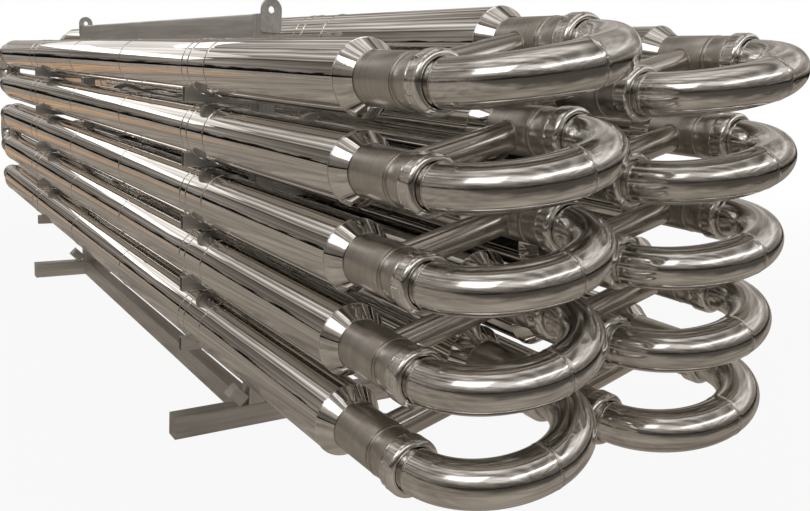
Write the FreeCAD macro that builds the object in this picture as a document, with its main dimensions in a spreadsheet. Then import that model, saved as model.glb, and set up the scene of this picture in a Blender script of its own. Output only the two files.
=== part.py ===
import FreeCAD, Part
import os
import re
import Sketcher
from FreeCAD import Placement, Rotation, Vector

# A tube heat exchanger of two bundles that stand side by side. A bundle has two columns of five insulated
# shells, joined in pairs by a bend at the front, and one above the other by bends at the rear.
# X runs across the columns, Y along the tubes with the front bends at -Y, and Z up from the floor.
# The origin is on the floor, at the middle of the whole. All sizes are millimetres.

SIZES = [
    # Layout of the shells
    ("row_count", 5, "shells in a column"),
    ("row_pitch", 254, "height from one row to the next in a column"),
    ("column_spacing", 480, "from a bundle's left column to its right one"),
    ("column_rise", 127, "how much higher the right column sits"),
    ("bundle_spacing", 742, "from one bundle's middle to the other's"),
    ("axis_height", 525, "floor to the axis of the lowest shell"),
    # Shell and the neck at each end of it
    ("shell_radius", 77, "outside of the shell tube"),
    ("shell_wall", 3, "wall of the shell tube"),
    ("shell_half_length", 2912, "middle of the shell to its end"),
    ("shell_end_thickness", 10, "thickness of the ring that closes a shell's end"),
    ("groove_width", 6, "groove between shell and neck"),
    ("groove_radius", 73, "radius at the bottom of that groove"),
    ("neck_radius", 76, "outside of the neck"),
    ("neck_length", 76, "end of the shell to the end of the neck"),
    ("neck_bore_radius", 69, "bore of the neck, where a tube plate sits"),
    ("thread_radius", 73.5, "outside of the neck's thread"),
    ("thread_length", 28, "length of the neck's thread"),
    # Crossover, rear link and service nozzle, all cut from the same pipe
    ("pipe_radius", 45, "outside of the service pipe"),
    ("pipe_wall", 2, "wall of the service pipe"),
    ("pipe_inset", 84, "shell's end to the axis of a service pipe"),
    ("nozzle_length", 45, "how far a service nozzle stands out of its shell"),
    ("nozzle_slope", 15, "degrees that a nozzle leans from level, up on top and down below"),
    ("boss_radius", 50, "outside of the boss round a nozzle's foot"),
    ("boss_height", 15, "how far that boss stands out of the shell"),
    ("saddle_gap", 0.3, "gap under the saddle of a link or nozzle"),
    # Cladding sleeve
    ("cladding_radius", 111, "outside of the cladding"),
    ("cladding_gap", 0.3, "gap between cladding and shell"),
    ("cladding_inset", 223.5, "shell's end to the outer edge of the sleeve"),
    ("cone_length", 53.5, "length of the cone that closes the sleeve"),
    ("cone_lip", 2, "thickness of the cone where it meets the shell"),
    ("rim_rise", 1.5, "how far the rim between sleeve and cone stands out"),
    ("rim_width", 4, "width of that rim"),
    ("notch_gap", 1, "gap on each side of a support arm in the cladding"),
    # Tube bundle inside a shell
    ("tube_radius", 19, "outside of an inner tube"),
    ("tube_wall", 1.5, "wall of an inner tube"),
    ("outer_tube_count", 6, "tubes round the middle one"),
    ("tube_circle_radius", 44, "circle that those tubes stand on"),
    ("plate_thickness", 20, "thickness of a tube plate"),
    ("plate_gap", 0.3, "gap between tube plate and neck"),
    # Product bends and their unions
    ("bend_tube_radius", 64, "outside of a product bend's tube"),
    ("collar_radius", 73.2, "outside of the collar on a bend"),
    ("collar_length", 9, "length of the collar on a bend"),
    ("gasket_thickness", 3, "thickness of a union's gasket"),
    ("gasket_bore_radius", 66, "bore of a union's gasket"),
    ("nut_radius", 84.4, "outside of a union nut"),
    ("nut_length", 52, "length of a union nut"),
    ("nut_bevel", 11, "bevel round a union nut's front"),
    ("nut_mouth_radius", 66, "hole in a union nut's front"),
    ("nut_rear_gap", 3, "gap between neck and union nut"),
    ("nut_thread_gap", 0.3, "gap in the thread of a union nut"),
    ("nut_seat_gap", 0.3, "gap between a nut's shoulder and the collar"),
    ("slot_count", 6, "spanner slots in a union nut"),
    ("slot_width", 14, "width of a spanner slot"),
    ("slot_depth", 5, "depth of a spanner slot"),
    ("slot_length", 31, "length of a spanner slot"),
    # Frame of a bundle
    ("near_reach", 1555, "middle of the shells to the near post's face"),
    ("far_reach", 1330, "middle of the shells to the far post's face"),
    ("post_width", 80, "width and depth of a post"),
    ("corner_radius", 8, "rounding of the long edges of posts, beams and feet"),
    ("post_top", 1765, "floor to the top of a post"),
    ("feet_gap", 0.3, "gap where the two frames' feet meet"),
    ("foot_height", 100, "height of a foot and of the base beam"),
    ("top_beam_height", 140, "height of the top beam"),
    ("arm_depth", 30, "size of a support arm along the tubes"),
    ("arm_height", 60, "height of a support arm"),
    ("arm_wall", 3, "wall of a support arm, whose end is open"),
    ("arm_reach", 351, "middle of a bundle to an arm's end"),
    ("arm_gap", 0.3, "gap between a support arm and its shell"),
    ("brace_width", 60, "width and depth of a foot's brace"),
    ("brace_length", 75, "length of a foot's brace"),
    ("brace_sink", 3, "depth of the weld between brace and foot"),
    ("brace_gap", 0.3, "gap between a brace and its post"),
    # Lifting lug on a post
    ("lug_radius", 45, "half width and top rounding of a lug"),
    ("lug_thickness", 12, "thickness of a lug"),
    ("lug_overlap", 74, "height of a lug that is welded to its post"),
    ("lug_hole_rise", 17, "post's top to the hole of a lug"),
    ("lug_hole_radius", 14, "hole of a lug"),
]

# Lengths that follow from the sizes
LEG_SPACING = "sqrt(column_spacing^2 + column_rise^2)"
NECK_END = "(shell_half_length + neck_length)"
SHELL_FACE = f"({NECK_END} + thread_length)"
BEND_START = f"({SHELL_FACE} + gasket_thickness + collar_length)"
NUT_START = f"({NECK_END} + nut_rear_gap)"
PIPE_REACH = "(shell_half_length - pipe_inset)"
SLEEVE_REACH = "(shell_half_length - cladding_inset)"
LUG_HOLE = "(post_top + lug_hole_rise)"
TILT = "atan(column_rise / column_spacing)"
MIDDLE_Y = f"({LEG_SPACING} - row_pitch) / 4"
NEAR_FACE_Y = f"{MIDDLE_Y} - near_reach"
FAR_FACE_Y = f"{MIDDLE_Y} + far_reach"

START, END, CENTRE = 1, 2, 3
ACROSS, ALONG, UP = Vector(1, 0, 0), Vector(0, 1, 0), Vector(0, 0, 1)
BUNDLES = {"left": -1, "right": 1}

doc = FreeCAD.newDocument("heat_exchanger")
sheet = doc.addObject("Spreadsheet::Sheet", "Sizes")
for line, (name, size, meaning) in enumerate(SIZES, 1):
    sheet.set(f"A{line}", meaning)
    sheet.set(f"B{line}", str(size))
    sheet.setAlias(f"B{line}", name)
doc.recompute()
ROWS = int(sheet.get("row_count"))
SLOTS = int(sheet.get("slot_count"))
OUTER_TUBES = int(sheet.get("outer_tube_count"))


def bound(text):
    """An expression on the sheet, from one that names its sizes alone."""
    names = {name for name, size, meaning in SIZES}
    return re.sub(r"[a-z_]+", lambda word: f"Sizes.{word[0]}" if word[0] in names else word[0], text)


def new_body(name):
    body = doc.addObject("PartDesign::Body", name)
    body.Label = name
    return body


def origin_feature(body, role):
    return next(feature for feature in body.Origin.OriginFeatures if feature.Role == role)


def new_sketch(body, role, offset="0"):
    """A sketch on one of the body's own planes, or at an offset along that plane's normal."""
    sketch = body.newObject("Sketcher::SketchObject", f"{body.Name}_sketch")
    sketch.AttachmentSupport = (origin_feature(body, role), [""])
    sketch.MapMode = "FlatFace"
    sketch.setExpression("AttachmentOffset.Base.z", bound(offset))
    return sketch


def hold(sketch, edge, point, across, up):
    """Holds a point of an edge at its two distances from the sketch's origin."""
    for kind, distance in (("DistanceX", across), ("DistanceY", up)):
        number = sketch.addConstraint(Sketcher.Constraint(kind, -1, 1, edge, point, 1.0))
        sketch.setExpression(f"Constraints[{number}]", bound(distance))


def outline(sketch, points):
    """A closed outline of straight edges through points, each an expression across and one up."""
    first = sketch.GeometryCount
    count = len(points)
    for number in range(count):
        after = (number + 1) % count
        line = Part.LineSegment(Vector(number, number**2, 0), Vector(after, after**2, 0))
        sketch.addGeometry(line, False)
    for number in range(count):
        after = (number + 1) % count
        sketch.addConstraint(Sketcher.Constraint("Coincident", first + number, END, first + after, START))
    for number, (across, up) in enumerate(points):
        hold(sketch, first + number, START, across, up)


def rectangle(sketch, left, right, bottom, top):
    outline(sketch, [(left, bottom), (right, bottom), (right, top), (left, top)])


def circle(sketch, across, up, radius):
    edge = sketch.addGeometry(Part.Circle(Vector(0, 0, 0), UP, 1), False)
    hold(sketch, edge, CENTRE, across, up)
    number = sketch.addConstraint(Sketcher.Constraint("Radius", edge, 1.0))
    sketch.setExpression(f"Constraints[{number}]", bound(radius))


def upright_axis(sketch, across):
    """A construction line parallel to the sketch's vertical axis, to turn a profile about."""
    edge = sketch.addGeometry(Part.LineSegment(Vector(0, 0, 0), Vector(0, 1, 0)), True)
    hold(sketch, edge, START, across, "0")
    hold(sketch, edge, END, across, "shell_radius")


def extrude(kind, body, sketch, length, side="One side", reverse=False):
    feature = body.newObject(f"PartDesign::{kind}", kind)
    feature.Profile = sketch
    feature.SideType = side
    feature.Reversed = reverse
    feature.setExpression("Length", bound(length))
    return feature


def turn(kind, body, sketch, axis, angle=360, reverse=False):
    feature = body.newObject(f"PartDesign::{kind}", kind)
    feature.Profile = sketch
    feature.ReferenceAxis = (sketch, [axis])
    feature.Angle = angle
    feature.Reversed = reverse
    return feature


def round_edges(body, bar, way):
    """Rounds the edges of a bar that run along a direction, as those of hollow section are."""
    doc.recompute()
    edges = [edge.tangentAt(edge.FirstParameter) for edge in bar.Shape.Edges]
    fillet = body.newObject("PartDesign::Fillet", "Fillet")
    fillet.Base = (bar, [f"Edge{number}" for number, along in enumerate(edges, 1) if abs(along * way) > 0.9])
    fillet.setExpression("Radius", bound("corner_radius"))


def mirror(body, features, role):
    feature = body.newObject("PartDesign::Mirrored", "Mirrored")
    feature.Originals = features
    feature.MirrorPlane = (origin_feature(body, role), [""])
    body.Tip = feature


def repeat_upward(body, features):
    """Repeats features once for each row of the bundle."""
    feature = body.newObject("PartDesign::LinearPattern", "Rows")
    feature.Originals = features
    feature.Direction = (origin_feature(body, "Z_Axis"), [""])
    feature.Occurrences = ROWS
    feature.setExpression("Length", bound("(row_count - 1) * row_pitch"))
    body.Tip = feature


def place(piece, x, y, z, axis=UP, angle="0"):
    piece.Placement = Placement(Vector(0, 0, 0), Rotation(axis, 1))
    piece.setExpression("Placement.Base.x", bound(x))
    piece.setExpression("Placement.Base.y", bound(y))
    piece.setExpression("Placement.Base.z", bound(z))
    piece.setExpression("Placement.Rotation.Angle", bound(angle))


def group(name, pattern, places):
    """One node with a copy of the pattern at each place, for pieces that are all alike."""
    links = []
    for number, where in enumerate(places, 1):
        link = doc.addObject("App::Link", f"{name}_{number}")
        link.LinkedObject = pattern
        place(link, **where)
        links.append(link)
    node = doc.addObject("Part::Compound", name)
    node.Label = name
    node.Links = links
    return node


def bundle_x(side):
    return f"{BUNDLES[side]} * bundle_spacing / 2"


def column_x(side, column):
    """Where a bundle's left (0) or right (1) column stands."""
    return f"{bundle_x(side)} + {2 * column - 1} * column_spacing / 2"


def row_z(row, column=0):
    """Height of a shell's axis, with row 1 on top."""
    return f"axis_height + (row_count - {row}) * row_pitch + {column} * column_rise"


def shell_axes():
    """Every shell of a bundle, as its column and row."""
    return [(column, row) for row in range(1, ROWS + 1) for column in (0, 1)]


def rear_pairs():
    """The pairs of rows that a rear bend joins, as the column and the upper row of each pair."""
    return [(column, row) for column in (0, 1) for row in range(1 + column, ROWS, 2)]


def rear_bend_axes():
    """The shells that a rear bend ends on. The others have an open end for the product pipe."""
    return [(column, row + step) for column, row in rear_pairs() for step in (0, 1)]


def service_direction(column, row):
    """The way that a shell's rear service pipe leaves it, as an angle up from +X."""
    if (column, row) not in rear_bend_axes():
        return "nozzle_slope * 1deg" if row == 1 else "-nozzle_slope * 1deg"
    return "-90deg" if (column, row) in rear_pairs() else "90deg"


def shell_pair(name):
    """Two shells with their necks, welded to the crossover pipe near the front."""
    body = new_body(name)
    sketch = new_sketch(body, "YZ_Plane")
    circle(sketch, f"-{PIPE_REACH}", "0", "pipe_radius")
    extrude("Pad", body, sketch, LEG_SPACING, side="Symmetric")

    axis_x = f"-{LEG_SPACING} / 2"
    half = [
        ("thread_radius", SHELL_FACE),
        ("thread_radius", NECK_END),
        ("neck_radius", NECK_END),
        ("neck_radius", "shell_half_length + groove_width"),
        ("groove_radius", "shell_half_length + groove_width"),
        ("groove_radius", "shell_half_length"),
        ("shell_radius", "shell_half_length"),
    ]
    upper = [("0", SHELL_FACE)] + half
    lower = [(radius, f"-({y})") for radius, y in reversed(upper)]
    sketch = new_sketch(body, "XY_Plane")
    outline(sketch, [(f"{axis_x} + {radius}", y) for radius, y in upper + lower])
    upright_axis(sketch, axis_x)
    mirror(body, [turn("Revolution", body, sketch, "Axis0")], "YZ_Plane")

    half = [
        ("0", SHELL_FACE),
        ("neck_bore_radius", SHELL_FACE),
        ("neck_bore_radius", "shell_half_length - shell_end_thickness"),
        ("shell_radius - shell_wall", "shell_half_length - shell_end_thickness"),
    ]
    lower = [(radius, f"-({y})") for radius, y in reversed(half)]
    sketch = new_sketch(body, "XY_Plane")
    outline(sketch, [(f"{axis_x} + {radius}", y) for radius, y in half + lower])
    upright_axis(sketch, axis_x)
    mirror(body, [turn("Groove", body, sketch, "Axis0")], "YZ_Plane")

    sketch = new_sketch(body, "YZ_Plane")
    circle(sketch, f"-{PIPE_REACH}", "0", "pipe_radius - pipe_wall")
    extrude("Pocket", body, sketch, LEG_SPACING, side="Symmetric")
    return body


def service_opening(body, column, direction):
    """Opens a shell of a pair towards a rear link or nozzle. The direction is an angle up from +X."""
    sketch = new_sketch(body, "YZ_Plane", f"{2 * column - 1} * {LEG_SPACING} / 2")
    sketch.AttachmentOffset = Placement(Vector(0, 0, 0), Rotation(ACROSS, 1))
    sketch.setExpression("AttachmentOffset.Rotation.Angle", bound(f"{TILT} - ({direction})"))
    circle(sketch, PIPE_REACH, "0", "pipe_radius - pipe_wall")
    extrude("Pocket", body, sketch, "shell_radius", reverse=True)


def cladding_sleeve():
    """Insulation with its cladding: a sleeve with a cone at each end, notched round the support arms."""
    body = new_body("cladding_pattern")
    half = [
        ("shell_radius + cladding_gap", f"{SLEEVE_REACH} + cone_length"),
        ("shell_radius + cladding_gap + cone_lip", f"{SLEEVE_REACH} + cone_length"),
        ("cladding_radius", SLEEVE_REACH),
        ("cladding_radius + rim_rise", SLEEVE_REACH),
        ("cladding_radius + rim_rise", f"{SLEEVE_REACH} - rim_width"),
        ("cladding_radius", f"{SLEEVE_REACH} - rim_width"),
    ]
    lower = [(radius, f"-({y})") for radius, y in reversed(half)]
    sketch = new_sketch(body, "XY_Plane")
    outline(sketch, half + lower)
    turn("Revolution", body, sketch, "V_Axis")

    sketch = new_sketch(body, "YZ_Plane")
    for face in ("-near_reach", "far_reach"):
        left, right = f"{face} - notch_gap", f"{face} + arm_depth + notch_gap"
        rectangle(sketch, left, right, "-cladding_radius - notch_gap", "-shell_radius")
    extrude("Pocket", body, sketch, "2 * cladding_radius", side="Symmetric")
    return body


def tube_plate(body, offset):
    """A round plate, from an offset towards -Y."""
    sketch = new_sketch(body, "XZ_Plane", offset)
    circle(sketch, "0", "0", "neck_bore_radius - plate_gap")
    extrude("Pad", body, sketch, "plate_thickness")


def tubes(kind, body, radius):
    """The middle tube and the ones round it, or their bores, from end to end."""
    sketch = new_sketch(body, "XZ_Plane")
    circle(sketch, "0", "0", radius)
    for number in range(OUTER_TUBES):
        angle = f"{number} * 360deg / outer_tube_count"
        circle(sketch, f"tube_circle_radius * cos({angle})", f"tube_circle_radius * sin({angle})", radius)
    extrude(kind, body, sketch, f"2 * {SHELL_FACE}", side="Symmetric")


def tube_bundle():
    """Tubes welded into a plate at each end."""
    body = new_body("tube_bundle_pattern")
    tube_plate(body, f"{SHELL_FACE} - plate_thickness")
    tubes("Pad", body, "tube_radius")
    tube_plate(body, f"-{SHELL_FACE}")
    tubes("Pocket", body, "tube_radius - tube_wall")
    return body


def product_bend(name, spacing):
    """A half circle of tube about the body's Z axis, towards -Y, with a collar on each leg."""
    body = new_body(name)
    sketch = new_sketch(body, "XZ_Plane")
    circle(sketch, f"{spacing} / 2", "0", "bend_tube_radius")
    turn("Revolution", body, sketch, "V_Axis", angle=180, reverse=True)

    sketch = new_sketch(body, "XZ_Plane")
    for leg in ("-", ""):
        circle(sketch, f"{leg}{spacing} / 2", "0", "collar_radius")
    extrude("Pad", body, sketch, "collar_length", reverse=True)
    return body


def union_nut():
    """Slotted round nut, with its rear face at the origin and its mouth at +Y."""
    body = new_body("union_nut_pattern")
    thread, mouth = "thread_radius + nut_thread_gap", "nut_mouth_radius"
    shoulder = f"{BEND_START} + nut_seat_gap - {NUT_START}"
    sketch = new_sketch(body, "XY_Plane")
    inside = [(thread, "0"), (thread, shoulder), (mouth, shoulder), (mouth, "nut_length")]
    bevel = [("nut_radius - nut_bevel", "nut_length"), ("nut_radius", "nut_length - nut_bevel")]
    outline(sketch, inside + bevel + [("nut_radius", "0")])
    turn("Revolution", body, sketch, "V_Axis")

    sketch = new_sketch(body, "XZ_Plane")
    half, deep = "slot_width / 2", "nut_radius - slot_depth"
    rectangle(sketch, f"-{half}", half, deep, "nut_radius + slot_depth")
    slot = extrude("Pocket", body, sketch, "slot_length")
    slots = body.newObject("PartDesign::PolarPattern", "Slots")
    slots.Originals = [slot]
    slots.Axis = (origin_feature(body, "Y_Axis"), [""])
    slots.Angle = 360
    slots.Occurrences = SLOTS
    body.Tip = slots
    return body


def union_gasket():
    body = new_body("union_gasket_pattern")
    sketch = new_sketch(body, "XZ_Plane")
    circle(sketch, "0", "0", "collar_radius")
    circle(sketch, "0", "0", "gasket_bore_radius")
    extrude("Pad", body, sketch, "gasket_thickness")
    return body


def shell_link():
    """Upright pipe between two shells of one column, with a saddle at both ends."""
    body = new_body("shell_link_pattern")
    sketch = new_sketch(body, "XY_Plane")
    circle(sketch, "0", "0", "pipe_radius")
    circle(sketch, "0", "0", "pipe_radius - pipe_wall")
    extrude("Pad", body, sketch, "row_pitch", side="Symmetric")
    sketch = new_sketch(body, "XZ_Plane")
    for height in ("-row_pitch / 2", "row_pitch / 2"):
        circle(sketch, "0", height, "shell_radius + saddle_gap")
    extrude("Pocket", body, sketch, "4 * pipe_radius", side="Symmetric")
    return body


def service_nozzle():
    """Pipe stub with a boss round its foot, along +X from a shell whose axis is at the origin."""
    body = new_body("service_nozzle_pattern")
    for radius, height in (("boss_radius", "boss_height"), ("pipe_radius", "nozzle_length")):
        sketch = new_sketch(body, "YZ_Plane")
        circle(sketch, "0", "0", radius)
        circle(sketch, "0", "0", "pipe_radius - pipe_wall")
        extrude("Pad", body, sketch, f"shell_radius + {height}")
    sketch = new_sketch(body, "XZ_Plane")
    circle(sketch, "0", "0", "shell_radius + saddle_gap")
    extrude("Pocket", body, sketch, "4 * pipe_radius", side="Symmetric")
    return body


def post(name, lug_start, lug_reverse):
    """A post with its support arms and its lifting lug, front face at y = 0."""
    body = new_body(name)
    sketch = new_sketch(body, "XY_Plane", "foot_height")
    rectangle(sketch, "-post_width / 2", "post_width / 2", "0", "post_width")
    round_edges(body, extrude("Pad", body, sketch, "post_top - foot_height"), UP)

    for column, leftward in ((0, True), (1, False)):
        arm_top = f"axis_height + {column} * column_rise - shell_radius - arm_gap"
        sketch = new_sketch(body, "YZ_Plane")
        rectangle(sketch, "0", "arm_depth", f"{arm_top} - arm_height", arm_top)
        arm = extrude("Pad", body, sketch, "arm_reach", reverse=leftward)
        sketch = new_sketch(body, "YZ_Plane", "-arm_reach" if leftward else "arm_reach")
        low, high = f"{arm_top} - arm_height + arm_wall", f"{arm_top} - arm_wall"
        rectangle(sketch, "arm_wall", "arm_depth - arm_wall", low, high)
        bore = extrude("Pocket", body, sketch, "arm_reach - post_width / 2", reverse=leftward)
        repeat_upward(body, [arm, bore])

    sketch = new_sketch(body, "XZ_Plane", lug_start)
    rectangle(sketch, "-lug_radius", "lug_radius", "post_top - lug_overlap", LUG_HOLE)
    extrude("Pad", body, sketch, "lug_thickness", reverse=lug_reverse)
    sketch = new_sketch(body, "XZ_Plane", lug_start)
    circle(sketch, "0", LUG_HOLE, "lug_radius")
    extrude("Pad", body, sketch, "lug_thickness", reverse=lug_reverse)
    sketch = new_sketch(body, "XZ_Plane", lug_start)
    circle(sketch, "0", LUG_HOLE, "lug_hole_radius")
    extrude("Pocket", body, sketch, "lug_thickness", reverse=not lug_reverse)
    return body


def foot(name):
    """A foot across the bundle, with a short brace on each side of the post."""
    body = new_body(name)
    sketch = new_sketch(body, "YZ_Plane")
    rectangle(sketch, "0", "post_width", "0", "foot_height")
    round_edges(body, extrude("Pad", body, sketch, "bundle_spacing - feet_gap", side="Symmetric"), ACROSS)

    reach = "(brace_length + brace_width) / sqrt(8)"
    skew = "(brace_length - brace_width) / sqrt(8)"
    middle_x = f"-(post_width / 2 + brace_gap) - {reach}"
    middle_z = f"foot_height - brace_sink + {reach}"
    corners = [(f"-{skew}", f"-{reach}"), (reach, skew), (skew, reach), (f"-{reach}", f"-{skew}")]
    sketch = new_sketch(body, "XZ_Plane")
    outline(sketch, [(f"{middle_x} + {across}", f"{middle_z} + {up}") for across, up in corners])
    brace = extrude("Pad", body, sketch, "brace_width", reverse=True)
    mirror(body, [brace], "YZ_Plane")
    return body


def beam(name, bottom, top, length):
    """A beam along the bundle from y = 0, as wide as the posts."""
    body = new_body(name)
    sketch = new_sketch(body, "XZ_Plane")
    rectangle(sketch, "-post_width / 2", "post_width / 2", bottom, top)
    round_edges(body, extrude("Pad", body, sketch, length, reverse=True), ALONG)
    return body


def at(x, y, z, axis=UP, angle="0"):
    return {"x": x, "y": y, "z": z, "axis": axis, "angle": angle}


patterns = {
    "cladding": cladding_sleeve(),
    "tubes": tube_bundle(),
    "nut": union_nut(),
    "gasket": union_gasket(),
    "link": shell_link(),
    "nozzle": service_nozzle(),
}
nodes = []
gasket_places = []
nozzle_places = []
tilt = {"axis": ALONG, "angle": f"-{TILT}"}
turned = {"axis": UP, "angle": "180"}

for side in BUNDLES:
    for row in range(1, ROWS + 1):
        middle_z = f"{row_z(row)} + column_rise / 2"
        shells = shell_pair(f"{side}_row_{row}_shells")
        for column in (0, 1):
            service_opening(shells, column, service_direction(column, row))
        place(shells, bundle_x(side), MIDDLE_Y, middle_z, **tilt)
        bend = product_bend(f"{side}_row_{row}_front_bend", LEG_SPACING)
        place(bend, bundle_x(side), f"{MIDDLE_Y} - {BEND_START}", middle_z, **tilt)
        sleeves = [at(column_x(side, column), MIDDLE_Y, row_z(row, column)) for column in (0, 1)]
        cladding = group(f"{side}_row_{row}_cladding", patterns["cladding"], sleeves)
        nodes += [shells, bend, cladding]

    links = []
    for column, row in rear_pairs():
        x, middle_z = column_x(side, column), f"{row_z(row, column)} - row_pitch / 2"
        number = column + 1 + (2 if side == "right" else 0)
        bend = product_bend(f"column_{number}_rear_bend_rows_{row}_{row + 1}", "row_pitch")
        place(bend, x, f"{MIDDLE_Y} + {BEND_START}", middle_z, axis=ACROSS + UP, angle="180")
        nodes.append(bend)
        links.append(at(x, f"{MIDDLE_Y} + {PIPE_REACH}", middle_z))
    nodes.append(group(f"{side}_rear_shell_links", patterns["link"], links))

    tube_places, front_nuts, rear_nuts = [], [], []
    for column, row in shell_axes():
        x, z = column_x(side, column), row_z(row, column)
        tube_places.append(at(x, MIDDLE_Y, z))
        front_nuts.append(at(x, f"{MIDDLE_Y} - {NUT_START}", z, **turned))
        gasket_places.append(at(x, f"{MIDDLE_Y} - {SHELL_FACE}", z))
        if (column, row) in rear_bend_axes():
            rear_nuts.append(at(x, f"{MIDDLE_Y} + {NUT_START}", z))
            gasket_places.append(at(x, f"{MIDDLE_Y} + {SHELL_FACE}", z, **turned))
        else:
            lean = f"-({service_direction(column, row)})"
            nozzle_places.append(at(x, f"{MIDDLE_Y} + {PIPE_REACH}", z, ALONG, lean))
    nodes.append(group(f"{side}_tube_bundles", patterns["tubes"], tube_places))
    nodes.append(group(f"{side}_front_union_nuts", patterns["nut"], front_nuts))
    nodes.append(group(f"{side}_rear_union_nuts", patterns["nut"], rear_nuts))

    near = [post(f"{side}_near_post", "0", False), foot(f"{side}_near_foot")]
    far = [post(f"{side}_far_post", "-post_width", True), foot(f"{side}_far_foot")]
    for pieces, face in ((near, NEAR_FACE_Y), (far, FAR_FACE_Y)):
        for piece in pieces:
            place(piece, bundle_x(side), face, "0")
    between_posts = "far_reach + near_reach - post_width"
    base_beam = beam(f"{side}_base_beam", "0", "foot_height", between_posts)
    top_beam = beam(f"{side}_top_beam", "post_top - top_beam_height", "post_top", between_posts)
    for piece in (base_beam, top_beam):
        place(piece, bundle_x(side), f"{NEAR_FACE_Y} + post_width", "0")
    nodes += near + far + [base_beam, top_beam]

nodes.append(group("union_gaskets", patterns["gasket"], gasket_places))
nodes.append(group("service_nozzles", patterns["nozzle"], nozzle_places))

doc.recompute()
for thing in doc.Objects:
    if "Invalid" in thing.State or "Error" in thing.State:
        raise RuntimeError(f"{thing.Label} failed: {thing.State}")
    if thing.TypeId in ("PartDesign::Pocket", "PartDesign::Groove"):
        if thing.Shape.Volume > thing.BaseFeature.Shape.Volume - 1:
            raise RuntimeError(f"{thing.Label} cuts nothing")
for node in nodes:
    if node.Shape.isNull() or not node.Shape.isValid():
        raise RuntimeError(f"{node.Label} has no valid shape")

os.makedirs("parts", exist_ok=True)
for node in nodes:
    node.Shape.exportStep(f"parts/{node.Label}.step")
print(f"{len(nodes)} nodes written")
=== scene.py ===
import math
import bpy
from mathutils import Matrix, Vector


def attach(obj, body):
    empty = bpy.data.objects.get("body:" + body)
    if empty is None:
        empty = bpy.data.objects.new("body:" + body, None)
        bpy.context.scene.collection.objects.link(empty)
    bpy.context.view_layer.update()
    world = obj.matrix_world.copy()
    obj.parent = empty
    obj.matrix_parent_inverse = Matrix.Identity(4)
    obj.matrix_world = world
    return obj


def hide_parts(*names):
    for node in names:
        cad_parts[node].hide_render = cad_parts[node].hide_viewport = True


# The looks of a shell and tube heat exchanger.
# Lengths are metres. X runs across the columns, Y along the tubes and Z up.
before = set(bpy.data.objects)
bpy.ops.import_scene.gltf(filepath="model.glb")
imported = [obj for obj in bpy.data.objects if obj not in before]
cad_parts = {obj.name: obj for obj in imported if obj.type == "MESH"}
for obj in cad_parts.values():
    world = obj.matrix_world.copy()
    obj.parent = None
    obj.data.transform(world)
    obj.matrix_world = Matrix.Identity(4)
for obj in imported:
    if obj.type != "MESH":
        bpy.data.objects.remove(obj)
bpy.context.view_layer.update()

# Layout, as in the solids
ROWS = 5
ROW_PITCH = 0.254
COLUMN_SPACING = 0.480
COLUMN_RISE = 0.127
BUNDLE_SPACING = 0.742
AXIS_HEIGHT = 0.525
LEG_SPACING = math.hypot(COLUMN_SPACING, COLUMN_RISE)
MIDDLE_Y = (LEG_SPACING - ROW_PITCH) / 4
TILT = math.atan2(COLUMN_RISE, COLUMN_SPACING)
SIDES = {"left": -1, "right": 1}

# Distances from the middle of a shell along it, and radii
SHELL_RADIUS, WRAPPED_END, SHELL_END = 0.077, 2.60, 2.912
NECK_RADIUS, NECK_END = 0.076, 2.988
THREAD_RADIUS, SHELL_FACE = 0.0735, 3.016
BEND_RADIUS, BEND_START = 0.064, 3.028
NUT_RADIUS, NUT_START, NUT_LENGTH = 0.0844, 2.991, 0.052
PIPE_RADIUS, PIPE_REACH = 0.045, 2.828
CLADDING_RADIUS, CLADDING_END, CONE_LENGTH = 0.111, 2.6885, 0.0535
CLADDING_SEAMS = (-1.739, -1.570, -1.506, -0.642, 0.355, 1.369, 1.544)

# Frame
NEAR_FACE, FAR_FACE = MIDDLE_Y - 1.555, MIDDLE_Y + 1.330
POST, POST_TOP, FOOT_HEIGHT = 0.080, 1.765, 0.100
TOP_BEAM_HEIGHT = 0.140
ARM_DEPTH, ARM_HEIGHT, ARM_WALL = 0.030, 0.060, 0.003
ARM_REACH, ARM_DROP = 0.351, 0.0773
FOOT_REACH = 0.37085
BRACE_WIDTH, BRACE_LENGTH = 0.060, 0.075
LUG_RADIUS, LUG_THICKNESS, LUG_HOLE_RADIUS = 0.045, 0.012, 0.014
LUG_BOTTOM, LUG_HOLE_HEIGHT = 1.691, 1.782

ALONG_Y = Matrix.Identity(4)
TURNED = Matrix.Rotation(math.pi, 4, "Z")
ACROSS = Matrix.Rotation(-math.pi / 2, 4, "Z")
UPRIGHT = Matrix.Rotation(math.pi / 2, 4, "X")
ON_TILT = Matrix.Rotation(-TILT, 4, "Y")
QUARTER_TURN = Matrix.Rotation(math.pi / 2, 4, "Y")

# A part's place, times these, shifts its grain, so that no two parts have the same grain
GRAIN_SHIFT_X, GRAIN_SHIFT_Z, GRAIN_SHIFT_Y = 7, 5, 3
BEAD_RIPPLE, BEAD_RIPPLE_STEP = 0.18, 2.4
RING_STEPS = 6


def rounded_outline(half_width, half_height, rounding, steps):
    """The (x, z) points of a rectangle with rounded corners."""
    points = []
    for across, up, start in ((1, 1, 0), (-1, 1, 90), (-1, -1, 180), (1, -1, 270)):
        x, z = across * (half_width - rounding), up * (half_height - rounding)
        for step in range(steps + 1):
            a = math.radians(start + 90 * step / steps)
            points.append((x + rounding * math.cos(a), z + rounding * math.sin(a)))
    return points


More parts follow.
